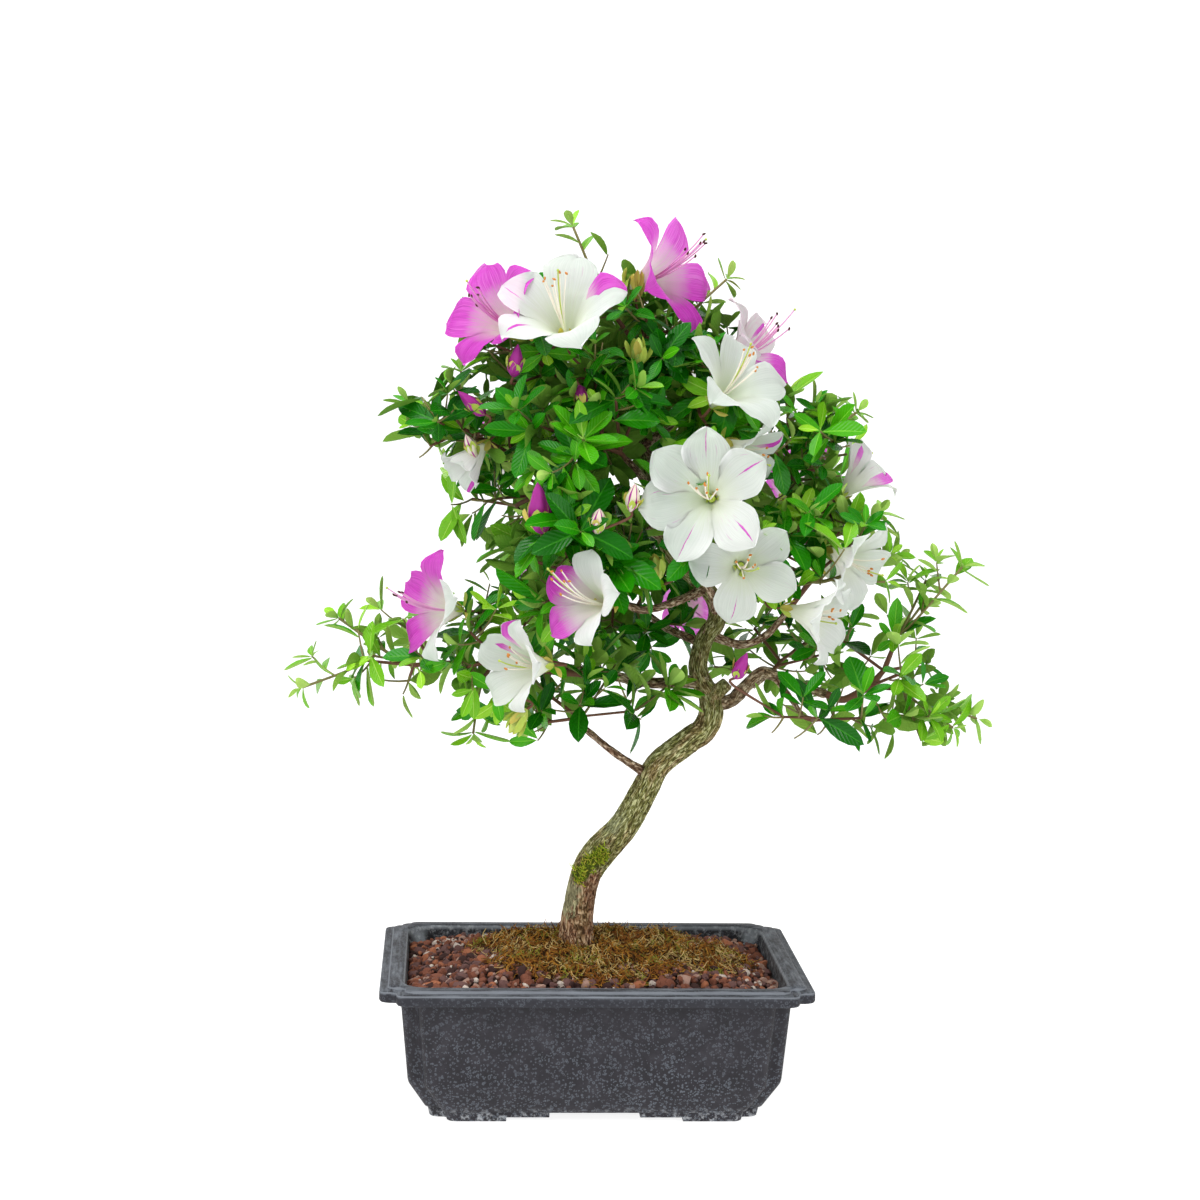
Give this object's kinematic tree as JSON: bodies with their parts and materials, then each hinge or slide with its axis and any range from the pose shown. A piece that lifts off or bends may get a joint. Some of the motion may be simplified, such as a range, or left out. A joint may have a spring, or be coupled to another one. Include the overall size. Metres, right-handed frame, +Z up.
{
  "type": "azalea bonsai in pot",
  "caption": "Small flowering azalea grown as a bonsai: bent trunk with tapering boughs, separate tiers of leaves and funnel blossoms, standing in a low rectangular plastic pot of grit.",
  "frame": {"origin": "on the ground, under the middle of the whole plant's bounding box", "axes": "+X along the pot's long side, to the right seen from the front; +Y away from the front; +Z up"},
  "size_m": [0.3672, 0.2186, 0.452],
  "materials": {
    "black_plastic": "moulded plastic, matt, with pale scale spots",
    "lava_grit": "loose reddish-brown volcanic grit",
    "dry_moss": "dry brown and ochre moss",
    "bark": "living bark, ridged, matt",
    "foliage": "smooth green leaves with a soft sheen",
    "blossom": "thin matt white and magenta petals"
  },
  "bodies": {
    "root": {"bough_back_left": "bark", "bough_back_low": "bark", "bough_back_right": "bark", "bough_back_top": "bark", "bough_center_left": "bark", "bough_front": "bark", "bough_front_top": "bark", "bough_left": "bark", "bough_left_mid": "bark", "bough_left_tip": "bark", "bough_low_left": "bark", "bough_right": "bark", "bough_right_back": "bark", "bough_right_high": "bark", "bough_right_mid": "bark", "bough_right_under": "bark", "bough_top_left": "bark", "bough_top_right": "bark", "foliage_back_left": "foliage", "foliage_back_low": "foliage", "foliage_back_right": "foliage", "foliage_back_top": "foliage", "foliage_center_left": "foliage", "foliage_front_center": "foliage", "foliage_front_top": "foliage", "foliage_left_low": "foliage", "foliage_left_mid": "foliage", "foliage_left_tip": "foliage", "foliage_low_center": "foliage", "foliage_right_back": "foliage", "foliage_right_high": "foliage", "foliage_right_low": "foliage", "foliage_right_mid": "foliage", "foliage_right_under": "foliage", "foliage_top": "foliage", "foliage_top_left": "foliage", "foliage_top_right": "foliage", "moss_mat": "dry_moss", "pot": "black_plastic", "soil": "lava_grit", "trunk": "bark"}
  },
  "joints": []
}
